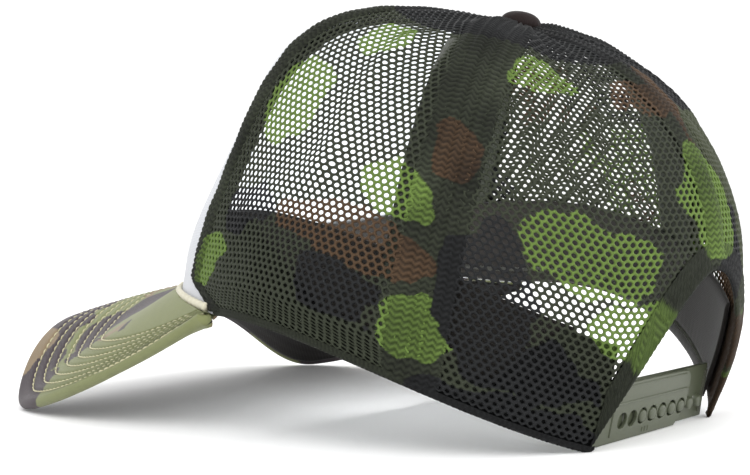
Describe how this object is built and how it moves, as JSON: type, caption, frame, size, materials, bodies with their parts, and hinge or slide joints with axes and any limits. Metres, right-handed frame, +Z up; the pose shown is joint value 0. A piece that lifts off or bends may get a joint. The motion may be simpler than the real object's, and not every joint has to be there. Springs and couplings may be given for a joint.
{
  "type": "trucker mesh cap",
  "caption": "Trucker cap: foam-backed front panel, camouflage mesh side and back panels, curved stitched visor, covered button and a plastic snap strap across an arched rear opening.",
  "frame": {"origin": "centre of the cap's bounding box, on the table it rests on", "axes": "+Z up, -Y the way the visor points, +X the wearer's left; the cap rests on the visor's front corners and the two lower corners beside the strap"},
  "size_m": [0.1888, 0.2816, 0.1421],
  "materials": {
    "white_cloth": "smooth woven",
    "foam": "matte foam",
    "camo_mesh": "open warp knit, printed",
    "seam_tape": "folded knit",
    "sweatband_cloth": "brushed twill",
    "thread": "sewing thread",
    "dark_thread": "sewing thread",
    "board": "matte",
    "camo_twill": "printed twill",
    "under_cloth": "dark printed twill",
    "piping": "woven",
    "button_cloth": "tight woven",
    "rivet_metal": "plain",
    "strap_plastic": "moulded, satin"
  },
  "bodies": {
    "crown": {"front_panel_face": "white_cloth", "front_panel_foam": "foam", "left_side_mesh": "camo_mesh", "left_rear_mesh": "camo_mesh", "right_side_mesh": "camo_mesh", "right_rear_mesh": "camo_mesh", "left_front_seam_tape": "seam_tape", "right_front_seam_tape": "seam_tape", "left_side_seam_tape": "seam_tape", "right_side_seam_tape": "seam_tape", "rear_centre_seam_tape": "seam_tape", "opening_binding": "seam_tape", "sweatband": "sweatband_cloth", "sweatband_stitching": "thread", "visor_board": "board", "visor_top_cloth": "camo_twill", "visor_under_cloth": "under_cloth", "visor_stitching": "thread", "visor_seam_piping": "piping", "button_cap": "button_cloth", "button_rivet": "rivet_metal", "button_washer": "rivet_metal"},
    "outer_strap": {"hole_strap": "strap_plastic", "left_strap_stitches": "dark_thread"},
    "inner_strap": {"peg_strap": "strap_plastic", "right_strap_stitches": "dark_thread"}
  },
  "joints": [
    {"name": "outer_strap_flex", "type": "hinge", "parent": "crown", "child": "outer_strap", "pos_m": [0.0325, 0.11402, 0.0003], "axis": [0, -0.2419, -0.9703], "range_deg": [0, 60], "stiffness_Nm_per_rad": 0.004},
    {"name": "inner_strap_flex", "type": "hinge", "parent": "crown", "child": "inner_strap", "pos_m": [-0.0325, 0.11242, 0.0007], "axis": [0, -0.2419, -0.9703], "range_deg": [0, 20], "stiffness_Nm_per_rad": 0.004}
  ]
}
